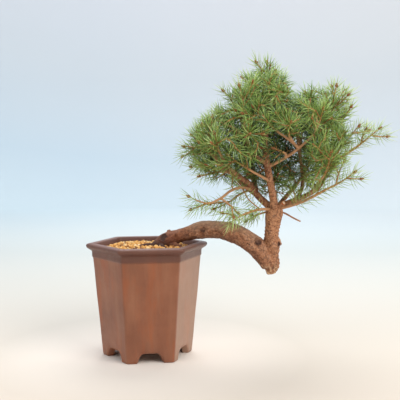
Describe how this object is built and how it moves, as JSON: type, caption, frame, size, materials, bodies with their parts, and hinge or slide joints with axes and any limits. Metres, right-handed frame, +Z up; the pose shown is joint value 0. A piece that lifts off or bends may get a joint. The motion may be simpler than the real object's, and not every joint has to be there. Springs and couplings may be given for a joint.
{
  "type": "white spruce bonsai",
  "caption": "Living white spruce trained as a half-cascade bonsai: trunk runs out of a six-sided stoneware pot, turns down, and carries a dense round crown of needles.",
  "frame": {"origin": "under the middle of the whole tree's box, on the surface that the pot stands on", "axes": "+Z up; +X the way the tree leans out of its pot; -Y towards the viewer of the front"},
  "size_m": [0.3301, 0.1658, 0.3212],
  "materials": {
    "stoneware": "satin",
    "akadama": "matte",
    "screen": "matte",
    "bark": "matte",
    "foliage": "satin"
  },
  "bodies": {
    "root": {"pot": "stoneware", "soil": "akadama", "drain_screen": "screen", "trunk": "bark", "leader_spray": "foliage", "left_limb_spray": "foliage", "left_riser_spray": "foliage", "right_limb_spray": "foliage", "right_far_spray": "foliage", "right_low_spray": "foliage", "left_arch_spray": "foliage", "arch_side_spray": "foliage", "under_left_spray": "foliage", "left_droop_spray": "foliage", "centre_left_spray": "foliage", "tan_twig_spray": "foliage", "front_branch_spray": "foliage", "back_twig_spray": "foliage", "right_riser_spray": "foliage", "back_left_spray": "foliage", "back_middle_spray": "foliage", "back_right_spray": "foliage", "back_top_spray": "foliage", "front_right_spray": "foliage", "front_left_spray": "foliage", "front_top_spray": "foliage", "spray_23": "foliage", "spray_24": "foliage", "spray_25": "foliage", "spray_26": "foliage", "spray_27": "foliage", "spray_28": "foliage", "spray_29": "foliage", "spray_30": "foliage", "spray_31": "foliage", "spray_32": "foliage", "spray_33": "foliage", "spray_34": "foliage", "spray_35": "foliage", "spray_36": "foliage", "spray_37": "foliage", "spray_38": "foliage", "spray_39": "foliage", "spray_40": "foliage", "spray_41": "foliage", "spray_42": "foliage", "spray_43": "foliage", "spray_44": "foliage", "spray_45": "foliage", "spray_46": "foliage", "spray_47": "foliage", "spray_48": "foliage"}
  },
  "joints": []
}
